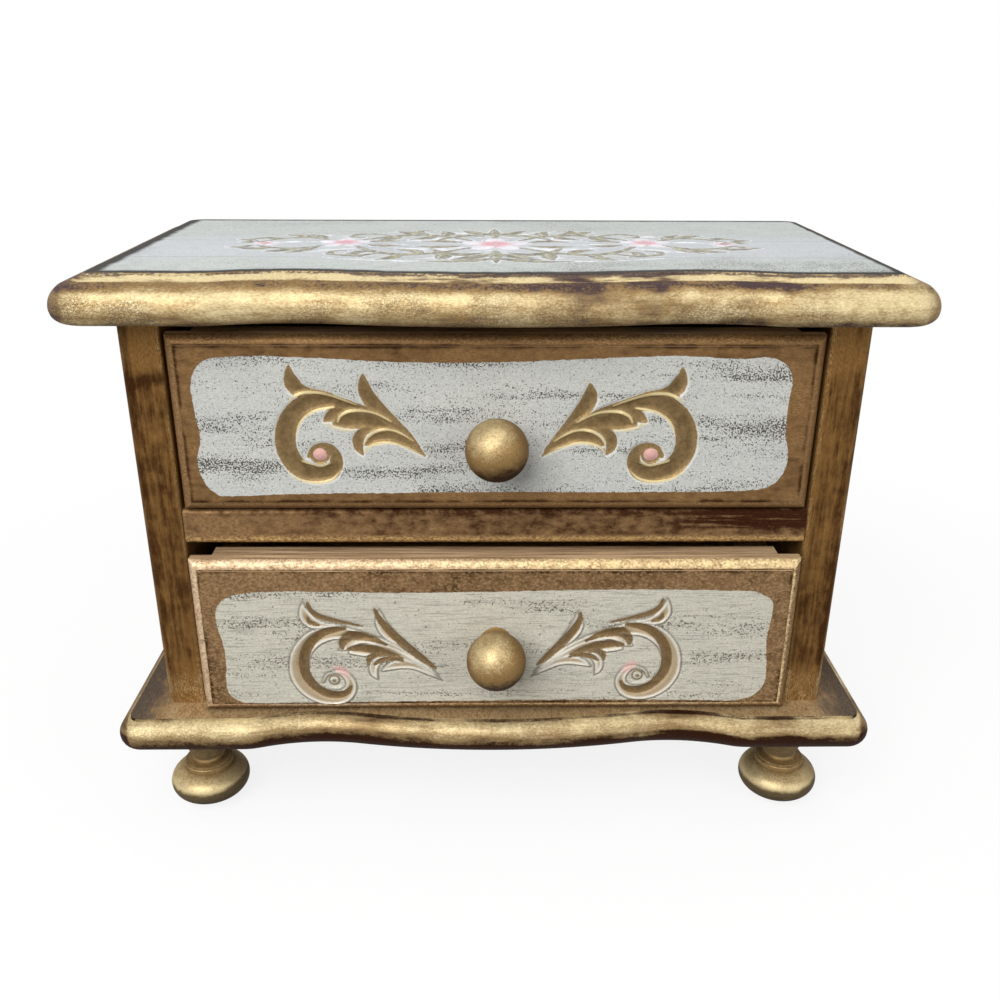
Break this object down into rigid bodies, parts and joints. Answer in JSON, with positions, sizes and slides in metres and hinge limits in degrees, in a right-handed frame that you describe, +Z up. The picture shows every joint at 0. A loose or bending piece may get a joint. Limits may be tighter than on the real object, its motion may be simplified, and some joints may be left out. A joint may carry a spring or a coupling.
{
  "type": "jewelry drawer chest",
  "caption": "Small painted and gilded wooden jewelry chest with sliding drawers, moulded serpentine top and base, turned feet and ball knobs.",
  "frame": {"origin": "on the floor, under the middle of the whole chest with its knobs", "axes": "X to the right seen from the front, Y to the back, Z up; the drawers open towards -Y"},
  "size_m": [0.264, 0.1558, 0.1975],
  "materials": {
    "gilded_wood": "aged gold with dark umber glaze",
    "painted_wood": "distressed cream paint over carving",
    "bare_wood": "unfinished",
    "back_wood": "dark stain",
    "felt": "matte felt",
    "fastener_steel": "plain"
  },
  "bodies": {
    "carcass": {"top_board": "gilded_wood", "base_board": "gilded_wood", "left_side": "gilded_wood", "right_side": "gilded_wood", "drawer_divider": "gilded_wood", "back_panel": "back_wood", "carcass_dowels": "bare_wood", "back_panel_brads": "fastener_steel", "front_left_foot": "gilded_wood", "front_right_foot": "gilded_wood", "rear_left_foot": "gilded_wood", "rear_right_foot": "gilded_wood"},
    "upper_drawer": {"upper_drawer_front": "painted_wood", "upper_drawer_left_side": "bare_wood", "upper_drawer_right_side": "bare_wood", "upper_drawer_back": "bare_wood", "upper_drawer_bottom": "bare_wood", "upper_drawer_lining": "felt", "upper_drawer_brads": "fastener_steel", "upper_knob": "gilded_wood", "upper_knob_screw": "fastener_steel"},
    "lower_drawer": {"lower_drawer_front": "painted_wood", "lower_drawer_left_side": "bare_wood", "lower_drawer_right_side": "bare_wood", "lower_drawer_back": "bare_wood", "lower_drawer_bottom": "bare_wood", "lower_drawer_lining": "felt", "lower_drawer_brads": "fastener_steel", "lower_knob": "gilded_wood", "lower_knob_screw": "fastener_steel"}
  },
  "joints": [
    {"name": "upper_drawer_slide", "type": "slide", "parent": "carcass", "child": "upper_drawer", "axis": [0, -1, 0], "range_m": [0, 0.085]},
    {"name": "lower_drawer_slide", "type": "slide", "parent": "carcass", "child": "lower_drawer", "axis": [0, -1, 0], "range_m": [-0.004, 0.081]}
  ]
}
